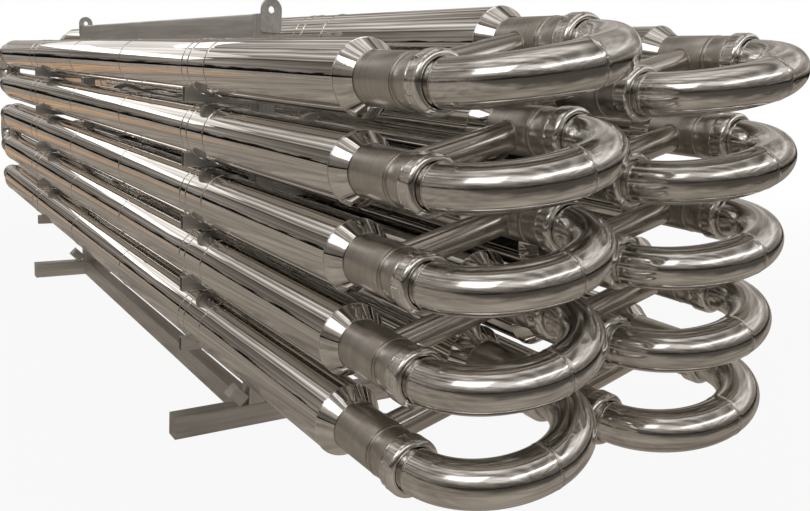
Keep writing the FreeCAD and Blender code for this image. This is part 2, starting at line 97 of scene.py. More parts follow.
class Piece:
    """A mesh that is gathered part by part. Each point also keeps where it lies on its own
    straightened part, and a mark that is 1 on a weld and -1 on drawn pipe."""

    def __init__(self, name):
        self.name = name
        self.points, self.faces, self.own, self.weld = [], [], [], []

    def grid(self, rings, own, weld, place, closed=False):
        """Joins rings of points, each a list of the same length, round and along."""
        first, count = len(self.points), len(rings[0])
        x, y, z = place.translation
        shift = Vector((x * GRAIN_SHIFT_X, z * GRAIN_SHIFT_Z, y * GRAIN_SHIFT_Y))
        for ring, marks, mark in zip(rings, own, weld):
            self.points += [place @ Vector(point) for point in ring]
            self.own += [Vector(spot) + shift for spot in marks]
            self.weld += [mark] * count
        spans = len(rings) if closed else len(rings) - 1
        for number in range(spans):
            here = first + number * count
            there = first + (number + 1) % len(rings) * count
            for step in range(count):
                after = (step + 1) % count
                self.faces.append((here + step, here + after, there + after, there + step))
        return first

    def cap(self, first, count):
        """Closes a ring of points with one face."""
        self.faces.append(tuple(range(first, first + count)))

    def lathe(self, profile, place, segments=96, drawn=False):
        """Turns (radius, along) points about the Y axis. On a drawn pipe the marks run along it."""
        turns = [2 * math.pi * step / segments for step in range(segments)]
        rings, own = [], []
        for radius, along in profile:
            rings.append([(radius * math.cos(a), along, radius * math.sin(a)) for a in turns])
            own.append([(along, x, z) for x, _, z in rings[-1]] if drawn else rings[-1])
        self.grid(rings, own, [-1.0 if drawn else 0.0] * len(profile), place)

    def sweep(self, stations, centre_radius, place, segments=56):
        """A half circle of tube towards -Y about the Z axis.
        A station is (angle, tube radius, weld mark)."""
        rings, own, weld = [], [], []
        for angle, radius, mark in stations:
            ring, marks = [], []
            for step in range(segments):
                a = 2 * math.pi * step / segments
                out, up = radius * math.cos(a), radius * math.sin(a)
                reach = centre_radius + out
                ring.append((reach * math.cos(angle), -reach * math.sin(angle), up))
                marks.append((out, centre_radius * angle, up))
            rings.append(ring)
            own.append(marks)
            weld.append(mark)
        self.grid(rings, own, weld, place)

    def bar(self, width, height, length, place, rounding=0.006):
        """A bar along Y from the origin with rounded long edges, centred on X and Z."""
        outline = rounded_outline(width / 2, height / 2, rounding, steps=4)
        rings = [[(x, along, z) for x, z in outline] for along in (0, length)]
        first = self.grid(rings, rings, [0.0, 0.0], place)
        self.cap(first, len(outline))
        self.cap(first + len(outline), len(outline))

    def open_bar(self, width, height, length, wall, place):
        """A rectangular tube along Y from the origin, closed there and open at its other end."""
        rounding, edge, floor = 0.004, 0.001, 0.02
        rings = []
        for inset, along in ((0, 0), (0, length - edge), (edge, length), (wall, length),
                             (wall, floor)):
            outline = rounded_outline(width / 2 - inset, height / 2 - inset,
                                      max(rounding - inset, edge), steps=3)
            rings.append([(x, along, z) for x, z in outline])
        count = len(rings[0])
        first = self.grid(rings, rings, [0.0] * len(rings), place)
        self.cap(first, count)
        self.cap(first + (len(rings) - 1) * count, count)

    def bead(self, path, thickness, place, segments=8):
        """A weld bead along a closed path of points."""
        rings, own = [], []
        count = len(path)
        middle = sum((Vector(point) for point in path), Vector()) / count
        for number, point in enumerate(path):
            along = Vector(path[(number + 1) % count]) - Vector(path[number - 1])
            along.normalize()
            out = (Vector(point) - middle).normalized()
            side = along.cross(out).normalized()
            out = side.cross(along)
            swell = thickness * (1 + BEAD_RIPPLE * math.sin(number * BEAD_RIPPLE_STEP))
            ring = []
            for step in range(segments):
                a = 2 * math.pi * step / segments
                ring.append(Vector(point) + (out * math.cos(a) + side * math.sin(a)) * swell)
            rings.append(ring)
            own.append([tuple(point) for point in ring])
        self.grid(rings, own, [1.0] * count, place, closed=True)

    def finish(self, material, slot, nodes, sharp=40):
        """Makes the mesh. Edges that turn by more than the sharp angle in degrees stay sharp."""
        mesh = bpy.data.meshes.new(self.name)
        mesh.from_pydata([tuple(point) for point in self.points], [], self.faces)
        mesh.polygons.foreach_set("use_smooth", [True] * len(mesh.polygons))
        own = mesh.attributes.new("own", "FLOAT_VECTOR", "POINT")
        own.data.foreach_set("vector", [value for spot in self.own for value in spot])
        weld = mesh.attributes.new("weld", "FLOAT", "POINT")
        weld.data.foreach_set("value", self.weld)
        mesh.set_sharp_from_angle(angle=math.radians(sharp))
        mesh.update()
        piece = bpy.data.objects.new(self.name, mesh)
        bpy.context.scene.collection.objects.link(piece)
        mesh.materials.append(material)
        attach(piece, "root")
        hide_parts(*nodes)


def bundle_x(side):
    return SIDES[side] * BUNDLE_SPACING / 2


def column_x(side, column):
    return bundle_x(side) + (2 * column - 1) * COLUMN_SPACING / 2


def row_z(row, column=0):
    return AXIS_HEIGHT + (ROWS - row) * ROW_PITCH + column * COLUMN_RISE


def at(x, y, z, turn=ALONG_Y):
    return Matrix.Translation((x, y, z)) @ turn


def rear_pairs():
    """The pairs of rows that a rear bend joins, as the column and the upper row of each pair."""
    return [(column, row) for column in (0, 1) for row in range(1 + column, ROWS, 2)]


def ring_of(profile, radius, along, height, half):
    """Adds a rounded ring to a profile that runs along a cylinder."""
    for step in range(RING_STEPS + 1):
        a = math.pi * step / RING_STEPS
        profile.append((radius + height * math.sin(a), along - half * math.cos(a)))


# Materials

def nodes_of(name):
    material = bpy.data.materials.new(name)
    material.use_nodes = True
    return material, material.node_tree, material.node_tree.nodes["Principled BSDF"]


def noise(tree, source, scale, detail=3.0, roughness=0.55, distortion=0.0):
    """Noise on a stretched copy of a coordinate."""
    stretch = tree.nodes.new("ShaderNodeMapping")
    stretch.inputs["Scale"].default_value = scale
    tree.links.new(source, stretch.inputs["Vector"])
    texture = tree.nodes.new("ShaderNodeTexNoise")
    texture.inputs["Scale"].default_value = 1.0
    texture.inputs["Detail"].default_value = detail
    texture.inputs["Roughness"].default_value = roughness
    texture.inputs["Distortion"].default_value = distortion
    tree.links.new(stretch.outputs["Vector"], texture.inputs["Vector"])
    return texture.outputs["Fac"]


def ranged(tree, value, low, high, start=0.3, end=0.7):
    """Maps the range from start to end to the range from low to high."""
    node = tree.nodes.new("ShaderNodeMapRange")
    node.inputs["From Min"].default_value = start
    node.inputs["From Max"].default_value = end
    node.inputs["To Min"].default_value = low
    node.inputs["To Max"].default_value = high
    tree.links.new(value, node.inputs["Value"])
    return node.outputs["Result"]


def blend_colour(tree, factor, first, second):
    """The first colour where the factor is 0 and the second where it is 1."""
    node = tree.nodes.new("ShaderNodeMix")
    node.data_type = "RGBA"
    tree.links.new(factor, node.inputs["Factor"])
    for socket, colour in ((node.inputs[6], first), (node.inputs[7], second)):
        if isinstance(colour, tuple):
            socket.default_value = (*colour, 1)
        else:
            tree.links.new(colour, socket)
    return node.outputs[2]


def arithmetic(tree, operation, first, second):
    node = tree.nodes.new("ShaderNodeMath")
    node.operation = operation
    for socket, value in zip(node.inputs, (first, second)):
        if isinstance(value, (int, float)):
            socket.default_value = value
        else:
            tree.links.new(value, socket)
    return node.outputs["Value"]


def vector_math(tree, operation, source):
    node = tree.nodes.new("ShaderNodeVectorMath")
    node.operation = operation
    tree.links.new(source, node.inputs[0])
    return node


def bumped(tree, height, distance, before=None):
    """Relief of a given height, on top of the relief before it."""
    node = tree.nodes.new("ShaderNodeBump")
    node.inputs["Strength"].default_value = 1.0
    node.inputs["Distance"].default_value = distance
    tree.links.new(height, node.inputs["Height"])
    if before:
        tree.links.new(before, node.inputs["Normal"])
    return node.outputs["Normal"]


PATCH_SCALE, RIPPLE_SCALE, RIPPLE_HEIGHT = (9, 4, 9), (160, 160, 160), 0.0012
WELD_TINT, WELD_STAIN = (0.62, 0.62, 0.60), 0.35
WELD_DULLING, DRAWN_GLOSS = 0.10, 0.12


def steel(name, dark, light, rough, grain_and_reflection_streak, fine, fine_depth, wave, wave_depth):
    """Bare steel whose tone, roughness and relief follow how its part was drawn or ground; on the
    mirror steel the streaks of the tone are painted reflections.
    """
    material, tree, shader = nodes_of(name)
    place = tree.nodes.new("ShaderNodeAttribute")
    place.attribute_name = "own"
    own = place.outputs["Vector"]
    mark = tree.nodes.new("ShaderNodeAttribute")
    mark.attribute_name = "weld"
    weld = arithmetic(tree, "MAXIMUM", mark.outputs["Fac"], 0.0)
    drawn = arithmetic(tree, "MINIMUM", mark.outputs["Fac"], 0.0)

    # Streaks in the tone: grain on most steels, and painted reflections along the length on the
    # mirror steel
    grain_and_reflection_bands = ranged(tree, noise(tree, own, grain_and_reflection_streak, 5.0, 0.6), 0.0, 1.0)
    lines = noise(tree, own, fine, 2.0, 0.5)
    patches = noise(tree, own, PATCH_SCALE, 4.0, 0.6, 0.4)
    tone = blend_colour(tree, grain_and_reflection_bands, dark, light)
    tint = tuple(share * value for share, value in zip(WELD_TINT, dark))
    tone = blend_colour(tree, arithmetic(tree, "MULTIPLY", weld, WELD_STAIN), tone, tint)
    tree.links.new(tone, shader.inputs["Base Color"])

    spread = arithmetic(tree, "MULTIPLY", arithmetic(tree, "ADD", lines, patches), 0.5)
    gloss = ranged(tree, spread, *rough, 0.35, 0.65)
    gloss = arithmetic(tree, "ADD", gloss, arithmetic(tree, "MULTIPLY", weld, WELD_DULLING))
    gloss = arithmetic(tree, "ADD", gloss, arithmetic(tree, "MULTIPLY", drawn, DRAWN_GLOSS))
    tree.links.new(gloss, shader.inputs["Roughness"])

    relief = bumped(tree, noise(tree, own, wave, 1.0, 0.4), wave_depth)
    relief = bumped(tree, lines, fine_depth, relief)
    ripple = arithmetic(tree, "MULTIPLY", noise(tree, own, RIPPLE_SCALE, 1.0, 0.5), weld)
    relief = bumped(tree, ripple, RIPPLE_HEIGHT, relief)
    tree.links.new(relief, shader.inputs["Normal"])
    shader.inputs["Metallic"].default_value = 1.0
    return material


# Mirror steel for the cladding: the light and dark streaks of its tone along the length are painted
# reflections
MIRROR = steel("mirror_steel", dark=(0.64, 0.62, 0.59), light=(0.90, 0.885, 0.86),
               rough=(0.008, 0.035), grain_and_reflection_streak=(26, 0.35, 26), fine=(260, 1.2, 260),
               fine_depth=0.00002, wave=(7, 1.4, 7), wave_depth=0.0022)
BRUSHED = steel("brushed_steel", dark=(0.53, 0.50, 0.46), light=(0.64, 0.61, 0.57),
                rough=(0.26, 0.36), grain_and_reflection_streak=(3, 110, 3), fine=(8, 900, 8),
                fine_depth=0.00006, wave=(6, 5, 6), wave_depth=0.0004)
POLISHED = steel("polished_steel", dark=(0.55, 0.53, 0.50), light=(0.90, 0.885, 0.86),
                 rough=(0.08, 0.18), grain_and_reflection_streak=(70, 1.6, 70), fine=(420, 4, 420),
                 fine_depth=0.00007, wave=(16, 5, 16), wave_depth=0.0018)
TURNED_STEEL = steel("turned_steel", dark=(0.66, 0.64, 0.61), light=(0.96, 0.945, 0.92),
                     rough=(0.10, 0.20), grain_and_reflection_streak=(4, 160, 4), fine=(10, 1400, 10),
                     fine_depth=0.00005, wave=(12, 8, 12), wave_depth=0.0003)
SATIN = steel("satin_steel", dark=(0.60, 0.585, 0.565), light=(0.80, 0.785, 0.76),
              rough=(0.38, 0.52), grain_and_reflection_streak=(50, 2.0, 50), fine=(500, 8, 500),
              fine_depth=0.00008, wave=(14, 5, 14), wave_depth=0.0006)


def cad_steel(name, dark, light, rough, grain):
    """Steel for solids that keep their own mesh."""
    material, tree, shader = nodes_of(name)
    place = tree.nodes.new("ShaderNodeTexCoord")
    where = place.outputs["Object"]
    lines = noise(tree, where, grain, 4.0, 0.6)
    tone = blend_colour(tree, ranged(tree, lines, 0.0, 1.0), dark, light)
    tree.links.new(tone, shader.inputs["Base Color"])
    patches = noise(tree, where, (14, 14, 14), 4.0, 0.6)
    tree.links.new(ranged(tree, patches, *rough), shader.inputs["Roughness"])
    tree.links.new(bumped(tree, lines, 0.0001), shader.inputs["Normal"])
    shader.inputs["Metallic"].default_value = 1.0
    return material


def rubber(name, dark=(0.018, 0.018, 0.017), light=(0.04, 0.039, 0.037)):
    material, tree, shader = nodes_of(name)
    place = tree.nodes.new("ShaderNodeTexCoord")
    grain = noise(tree, place.outputs["Object"], (700, 700, 700), 3.0, 0.6)
    tone = blend_colour(tree, ranged(tree, grain, 0.0, 1.0), dark, light)
    tree.links.new(tone, shader.inputs["Base Color"])
    tree.links.new(bumped(tree, grain, 0.0002), shader.inputs["Normal"])
    shader.inputs["Roughness"].default_value = 0.65
    return material


# Shells with their necks and crossovers

# Radius and distance along of the brushed end with its groove, and of the neck behind the weld
END_POINTS = [(SHELL_RADIUS, WRAPPED_END), (SHELL_RADIUS, 2.80), (SHELL_RADIUS, 2.9105),
              (0.0762, SHELL_END), (0.0738, 2.9126), (0.0735, 2.9150), (0.0740, 2.9178)]
NECK_POINTS = [(0.0748, 2.9268), (0.0760, 2.9290), (NECK_RADIUS, 2.9860), (0.0752, NECK_END)]
WELD_RADIUS, WELD_PLACE, WELD_HEIGHT, WELD_HALF = 0.0752, 2.9222, 0.0028, 0.0036
THREAD_TURNS, THREAD_GAP, THREAD_PITCH, THREAD_ROOT = 7, 0.001, 0.0038, 0.0722
THREAD_FORM = ((THREAD_ROOT, 0), (THREAD_RADIUS, 0.0010), (THREAD_RADIUS, 0.0022),
               (THREAD_ROOT, 0.0032))
FACE_RADIUS, BORE_RADIUS, BORE_DEPTH = 0.0728, 0.0690, 0.03
PIPE_INSET, SADDLE_GAP, SADDLE_BEAD = 0.05, 0.001, 0.0026


def shell_end(threaded):
    """The profile of a shell's end, from under the cladding to the bore."""
    profile = list(END_POINTS)
    ring_of(profile, WELD_RADIUS, WELD_PLACE, WELD_HEIGHT, WELD_HALF)
    profile += NECK_POINTS
    if threaded:
        for turn in range(THREAD_TURNS):
            start = NECK_END + THREAD_GAP + THREAD_PITCH * turn
            profile += [(radius, start + offset) for radius, offset in THREAD_FORM]
    else:
        profile.append((THREAD_RADIUS, NECK_END))
    profile += [(FACE_RADIUS, SHELL_FACE), (BORE_RADIUS, SHELL_FACE)]
    profile.append((BORE_RADIUS, SHELL_FACE - BORE_DEPTH))
    return profile


def saddle(shell, pipe, count=56):
    """Where a pipe along X leaves a shell along Y."""
    path = []
    for step in range(count):
        a = 2 * math.pi * step / count
        along, up = pipe * math.cos(a), pipe * math.sin(a)
        path.append((math.sqrt(shell**2 - up**2), along, up))
    return path


def pipe_between(piece, start, length, place):
    """A pipe along X with a weld bead on the shell at each end. It starts at a shell's axis."""
    turn = place @ Matrix.Translation((start, 0, 0)) @ ACROSS
    profile = [(PIPE_RADIUS, along) for along in (PIPE_INSET, length / 2, length - PIPE_INSET)]
    piece.lathe(profile, turn, segments=64, drawn=True)
    path = saddle(SHELL_RADIUS, PIPE_RADIUS + SADDLE_GAP)
    piece.bead([(start + x, y, z) for x, y, z in path], SADDLE_BEAD, place)
    piece.bead([(start + length - x, y, z) for x, y, z in path], SADDLE_BEAD, place)


rear_joined = {(column, row + step) for column, row in rear_pairs() for step in (0, 1)}
for side in SIDES:
    for row in range(1, ROWS + 1):
        shells = Piece(f"{side}_row_{row}_steel_shells")
        for column in (0, 1):
            middle = at(column_x(side, column), MIDDLE_Y, row_z(row, column))
            shells.lathe(shell_end(False), middle @ TURNED)
            shells.lathe(shell_end((column, row) not in rear_joined), middle)
            wrapped = [(SHELL_RADIUS, -WRAPPED_END), (SHELL_RADIUS, WRAPPED_END)]
            shells.lathe(wrapped, middle, segments=48)
        tilt = at(bundle_x(side), MIDDLE_Y - PIPE_REACH, row_z(row) + COLUMN_RISE / 2, ON_TILT)
        pipe_between(shells, -LEG_SPACING / 2, LEG_SPACING, tilt)
        shells.finish(BRUSHED, "brushed_shell", [f"{side}_row_{row}_shells"])

    links = Piece(f"{side}_steel_links")
    for column, row in rear_pairs():
        upright = at(column_x(side, column), MIDDLE_Y + PIPE_REACH, row_z(row, column),
                     QUARTER_TURN)
        pipe_between(links, 0, ROW_PITCH, upright)
    links.finish(BRUSHED, "brushed_shell", [f"{side}_rear_shell_links"])

# Cladding

LIP_BORE, LIP_RADIUS = 0.0773, 0.0793
SHOULDER_RADIUS, SHOULDER_HEIGHT, SHOULDER_HALF = 0.1104, 0.0022, 0.0026
SEAM_HEIGHT, SEAM_HALF, SEAM_EDGE = 0.0024, 0.0040, 0.0042


def cladding_profile():
    """Cones and rounded shoulders at the ends, and raised seams between."""
    lip = CLADDING_END + CONE_LENGTH
    profile = [(LIP_BORE, -lip), (LIP_RADIUS, -lip)]
    ring_of(profile, SHOULDER_RADIUS, -CLADDING_END, SHOULDER_HEIGHT, SHOULDER_HALF)
    for seam in CLADDING_SEAMS:
        profile.append((CLADDING_RADIUS, seam - SEAM_EDGE))
        ring_of(profile, CLADDING_RADIUS, seam, SEAM_HEIGHT, SEAM_HALF)
        profile.append((CLADDING_RADIUS, seam + SEAM_EDGE))
    ring_of(profile, SHOULDER_RADIUS, CLADDING_END, SHOULDER_HEIGHT, SHOULDER_HALF)
    return profile + [(LIP_RADIUS, lip), (LIP_BORE, lip)]


for side in SIDES:
    for row in range(1, ROWS + 1):
        cladding = Piece(f"{side}_row_{row}_steel_cladding")
        for column in (0, 1):
            middle = at(column_x(side, column), MIDDLE_Y, row_z(row, column))
            cladding.lathe(cladding_profile(), middle)
        cladding.finish(MIRROR, "mirror_cladding", [f"{side}_row_{row}_cladding"], sharp=30)

# Product bends

BEND_STEPS = 64
UNION_WELD, WELD_ROOM, SEAM_WELD_HEIGHT = 0.027, 0.006, 0.0009
SEAM_WELD = ((-0.0028, 0), (-0.0020, 0.6), (-0.0008, 1), (0.0008, 1), (0.0020, 0.6), (0.0028, 0))
COLLAR_BORE, COLLAR_RADIUS, COLLAR_LENGTH = 0.060, 0.0732, 0.009


def bend_stations(centre_radius):
    """Angles, tube radii and weld marks, with a weld near each union and one in the middle."""
    welds = (UNION_WELD / centre_radius, math.pi / 2, math.pi - UNION_WELD / centre_radius)
    stations = []
    for step in range(BEND_STEPS + 1):
        angle = math.pi * step / BEND_STEPS
        if all(abs(angle - weld) * centre_radius > WELD_ROOM for weld in welds):
            stations.append((angle, BEND_RADIUS, 0.0))
    for weld in welds:
        for offset, height in SEAM_WELD:
            radius = BEND_RADIUS + SEAM_WELD_HEIGHT * height
            stations.append((weld + offset / centre_radius, radius, float(height > 0)))
    return sorted(stations)


def product_bend(name, centre_radius, place, node):
    bend = Piece(name)
    bend.sweep(bend_stations(centre_radius), centre_radius, place)
    collar = [(COLLAR_BORE, 0), (COLLAR_RADIUS, 0)]
    collar += [(COLLAR_RADIUS, COLLAR_LENGTH), (COLLAR_BORE, COLLAR_LENGTH)]
    for leg in (-centre_radius, centre_radius):
        bend.lathe(collar, place @ Matrix.Translation((leg, 0, 0)), segments=64)
    bend.finish(POLISHED, "polished_bend", [node])


for side in SIDES:
    for row in range(1, ROWS + 1):
        place = at(bundle_x(side), MIDDLE_Y - BEND_START, row_z(row) + COLUMN_RISE / 2, ON_TILT)
        name = f"{side}_row_{row}_front"
        product_bend(f"{name}_tube", LEG_SPACING / 2, place, f"{name}_bend")
    for column, row in rear_pairs():
        number = column + 1 + (2 if side == "right" else 0)
        name, rows = f"column_{number}_rear", f"rows_{row}_{row + 1}"
        place = at(column_x(side, column), MIDDLE_Y + BEND_START,
                   row_z(row, column) - ROW_PITCH / 2,
                   QUARTER_TURN @ Matrix.Rotation(math.pi, 4, "X"))
        product_bend(f"{name}_tube_{rows}", ROW_PITCH / 2, place, f"{name}_bend_{rows}")

# Union nuts

NUT_CORNER, NUT_CORNER_STEPS, MOUTH_RADIUS = 0.0150, 8, 0.0648
SLOTS, SLOT_HALF_WIDTH, SLOT_DEPTH, SLOT_LENGTH = 6, 0.0072, 0.0042, 0.0300
SLOT_WALL_INSIDE, SLOT_WALL_OUTSIDE, PLAIN_STEPS = 0.004, 0.010, 12
# How far a tightened nut has turned, in radians for each row and column
ROLL_BY_ROW, ROLL_BY_COLUMN = 0.35, 0.9


def nut_profile():
    """Radius and distance from the nut's rear, and whether a spanner slot cuts there."""
    profile = [(0.0740, 0.0006, False), (0.0826, 0.0, False), (0.0838, 0.0006, True)]
    profile += [(NUT_RADIUS, along, True) for along in (0.0020, 0.0150, SLOT_LENGTH)]
    profile.append((NUT_RADIUS, 0.0312, False))
    for step in range(NUT_CORNER_STEPS + 1):
        a = math.pi / 2 * step / NUT_CORNER_STEPS
        radius = NUT_RADIUS - NUT_CORNER + NUT_CORNER * math.cos(a)
        profile.append((radius, NUT_LENGTH - NUT_CORNER + NUT_CORNER * math.sin(a), False))
    for radius, depth in ((0.0682, 0.0006), (0.0672, 0.0022), (0.0656, 0.0018),
                          (MOUTH_RADIUS, 0.0030)):
        profile.append((radius, NUT_LENGTH - depth, False))
    profile.append((MOUTH_RADIUS, 0.040, False))
    return profile


def union_nut(piece, place):
    """A round nut with spanner slots that are open towards its rear."""
    half = SLOT_HALF_WIDTH / NUT_RADIUS
    span = 2 * math.pi / SLOTS - 2 * half - 2 * SLOT_WALL_OUTSIDE
    turns = []
    for slot in range(SLOTS):
        middle = 2 * math.pi * slot / SLOTS
        turns += [(middle - half - SLOT_WALL_OUTSIDE, False)]
        turns += [(middle - half + SLOT_WALL_INSIDE, True), (middle - half / 3, True)]
        turns += [(middle + half / 3, True), (middle + half - SLOT_WALL_INSIDE, True)]
        turns += [(middle + half + SLOT_WALL_OUTSIDE + span * step / PLAIN_STEPS, False)
                  for step in range(PLAIN_STEPS)]
    rings = []
    for radius, along, slotted in nut_profile():
        ring = []
        for a, inside in turns:
            reach = NUT_RADIUS - SLOT_DEPTH if slotted and inside else radius
            ring.append((reach * math.cos(a), along, reach * math.sin(a)))
        rings.append(ring)
    piece.grid(rings, rings, [0.0] * len(rings), place)


for side in SIDES:
    front, rear = Piece(f"{side}_front_steel_nuts"), Piece(f"{side}_rear_steel_nuts")
    for column in (0, 1):
        for row in range(1, ROWS + 1):
            x, z = column_x(side, column), row_z(row, column)
            roll = Matrix.Rotation(ROLL_BY_ROW * row + ROLL_BY_COLUMN * column, 4, "Y")
            union_nut(front, at(x, MIDDLE_Y - NUT_START, z, TURNED @ roll))
            if (column, row) in rear_joined:
                union_nut(rear, at(x, MIDDLE_Y + NUT_START, z, roll))
    front.finish(TURNED_STEEL, "union_nut", [f"{side}_front_union_nuts"], sharp=35)
    rear.finish(TURNED_STEEL, "union_nut", [f"{side}_rear_union_nuts"], sharp=35)

# Frame

ARM_ROOT, BRACE_ROOT = 0.004, 0.003
BEAM_ROUNDING, BRACE_ROUNDING = 0.008, 0.005
LUG_STEPS, LUG_EDGE = 48, 0.0012


def lifting_lug(piece, place):
    """An upright plate with a round top and a hole, in the XZ plane with its hole at the origin."""
    outer, inner = [], []
    bottom = LUG_BOTTOM - LUG_HOLE_HEIGHT
    for step in range(LUG_STEPS):
        a = 2 * math.pi * step / LUG_STEPS
        x, z = math.cos(a), math.sin(a)
        inner.append((LUG_HOLE_RADIUS * x, LUG_HOLE_RADIUS * z))
        reach = LUG_RADIUS
        if a > math.pi:
            reach = min(LUG_RADIUS / max(abs(x), 1e-6), bottom / z)
        outer.append((reach * x, reach * z))
    back, middle = LUG_THICKNESS, LUG_THICKNESS / 2
    rings = []
    for path, grow, y in ((inner, 0, middle), (inner, 0, LUG_EDGE), (inner, LUG_EDGE, 0),
                          (outer, -LUG_EDGE, 0), (outer, 0, LUG_EDGE),
                          (outer, 0, back - LUG_EDGE), (outer, -LUG_EDGE, back),
                          (inner, LUG_EDGE, back), (inner, 0, back - LUG_EDGE),
                          (inner, 0, middle)):
        ring = []
        for x, z in path:
            scale = 1 + grow / math.hypot(x, z)
            ring.append((x * scale, y, z * scale))
        rings.append(ring)
    piece.grid(rings, rings, [0.0] * len(rings), place)


for side in SIDES:
    x = bundle_x(side)
    for word, face in (("near", NEAR_FACE), ("far", FAR_FACE)):
        post = Piece(f"{side}_{word}_steel_post")
        post.bar(POST, POST, POST_TOP - FOOT_HEIGHT, at(x, face + POST / 2, FOOT_HEIGHT, UPRIGHT))
        for row in range(1, ROWS + 1):
            for column, way in ((0, -1), (1, 1)):
                middle = row_z(row, column) - ARM_DROP - ARM_HEIGHT / 2
                turn = ACROSS if way == 1 else ACROSS @ Matrix.Rotation(math.pi, 4, "X")
                start = at(x + way * (POST / 2 - ARM_ROOT), face + ARM_DEPTH / 2, middle, turn)
                length = ARM_REACH - POST / 2 + ARM_ROOT
                post.open_bar(ARM_DEPTH, ARM_HEIGHT, length, ARM_WALL, start)
        lug_y = face - LUG_THICKNESS if word == "near" else face + POST
        lifting_lug(post, at(x, lug_y, LUG_HOLE_HEIGHT))
        post.finish(SATIN, "frame_steel", [f"{side}_{word}_post"])

        foot = Piece(f"{side}_{word}_steel_foot")
        start = at(x - FOOT_REACH, face + POST / 2, FOOT_HEIGHT / 2, ACROSS)
        foot.bar(POST, FOOT_HEIGHT, 2 * FOOT_REACH, start, BEAM_ROUNDING)
        reach = (BRACE_LENGTH + BRACE_WIDTH) / math.sqrt(8)
        for way in (-1, 1):
            lean = Matrix.Rotation(way * math.radians(45), 4, "Y") @ UPRIGHT
            brace = at(x + way * (POST / 2 + reach), face + BRACE_WIDTH / 2,
                       FOOT_HEIGHT - BRACE_ROOT + reach, lean)
            brace = brace @ Matrix.Translation((0, -BRACE_LENGTH / 2, 0))
            foot.bar(BRACE_WIDTH, BRACE_WIDTH, BRACE_LENGTH, brace, BRACE_ROUNDING)
        foot.finish(SATIN, "frame_steel", [f"{side}_{word}_foot"])

    length = FAR_FACE - NEAR_FACE - POST
    for word, bottom, top in (("base", 0.0, FOOT_HEIGHT),
                              ("top", POST_TOP - TOP_BEAM_HEIGHT, POST_TOP)):
        beam = Piece(f"{side}_{word}_steel_beam")
        start = at(x, NEAR_FACE + POST, (bottom + top) / 2)
        beam.bar(POST, top - bottom, length, start, BEAM_ROUNDING)
        beam.finish(SATIN, "frame_steel", [f"{side}_{word}_beam"])

# Solids that keep their own mesh
TUBES = cad_steel("tube_steel", dark=(0.46, 0.44, 0.42), light=(0.64, 0.62, 0.59),
                  rough=(0.28, 0.40), grain=(60, 60, 60))
NOZZLE = cad_steel("nozzle_steel", dark=(0.37, 0.345, 0.315), light=(0.50, 0.475, 0.44),
                   rough=(0.30, 0.42), grain=(30, 200, 200))
RUBBER = rubber("gasket_rubber")
for node, material in (("left_tube_bundles", TUBES), ("right_tube_bundles", TUBES),
                       ("service_nozzles", NOZZLE), ("union_gaskets", RUBBER)):
    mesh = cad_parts[node].data
    mesh.materials.clear()
    mesh.materials.append(material)

# Floor, light and camera

FLOOR_REACH = 60
FLOOR_COLOUR, FLOOR_ROUGHNESS = (0.46, 0.42, 0.37), 0.9
# How white the floor is to the camera under the object and far from it, and from where to where
WHITE_NEAR, WHITE_FAR, FADE_START, FADE_END = 0.93, 1.0, 4.0, 12.0
GLOSSY_SHARE = 0.7
SHADED_FROM, SHADED_TO, SHADE_CENTRE = 6.0, 7.2, 1.3
WARM_X, WARM_Y = -2.9, 9.4
BLACK, WHITE = (0.0, 0.0, 0.0), (1.0, 1.0, 1.0)


def distance_from(tree, value, centre):
    return arithmetic(tree, "ABSOLUTE", arithmetic(tree, "SUBTRACT", value, centre), 0.0)


def background_ray(tree, rays):
    """1 for a ray of the camera and for one that has passed through glass."""
    camera_ray, through_glass = rays.outputs["Is Camera Ray"], rays.outputs["Is Transmission Ray"]
    return arithmetic(tree, "MAXIMUM", camera_ray, through_glass)


def floor_tone(tree, ground):
    """What the steel shows of the floor: clean patches, far stripes and one warm patch."""
    split = tree.nodes.new("ShaderNodeSeparateXYZ")
    tree.links.new(ground, split.inputs["Vector"])
    x, y = split.outputs["X"], split.outputs["Y"]

    unrest = ranged(tree, noise(tree, ground, (0.9, 0.9, 1), 5.0), -1.2, 1.2)
    away = distance_from(tree, arithmetic(tree, "ADD", y, unrest), SHADE_CENTRE)
    distant = ranged(tree, away, 0.0, 1.0, SHADED_FROM, SHADED_TO)
    stripes = noise(tree, ground, (0.22, 0.9, 1), 6.0, 0.7)
    stripes = ranged(tree, stripes, 0.02, 0.80, 0.42, 0.60)
    clean = noise(tree, ground, (0.5, 1.5, 1), 6.0, 0.7, 0.6)
    clean = ranged(tree, clean, 0.20, 0.48, 0.38, 0.62)
    behind = ranged(tree, y, 0.0, 1.0, -1.0, 1.0)
    afar = blend_colour(tree, behind, (0.03, 0.03, 0.03), stripes)
    shade = blend_colour(tree, distant, clean, afar)
    tone = blend_colour(tree, shade, BLACK, (1.0, 0.88, 0.75))

    side = ranged(tree, distance_from(tree, x, WARM_X), 1.0, 0.0, 1.6, 2.5)
    depth = ranged(tree, distance_from(tree, y, WARM_Y), 1.0, 0.0, 2.4, 3.4)
    boards = ranged(tree, noise(tree, ground, (0.8, 2.4, 1), 5.0, 0.7), 0.0, 1.0, 0.36, 0.62)
    wood = blend_colour(tree, boards, (0.22, 0.13, 0.08), (1.0, 0.62, 0.36))
    return blend_colour(tree, arithmetic(tree, "MULTIPLY", side, depth), tone, wood)


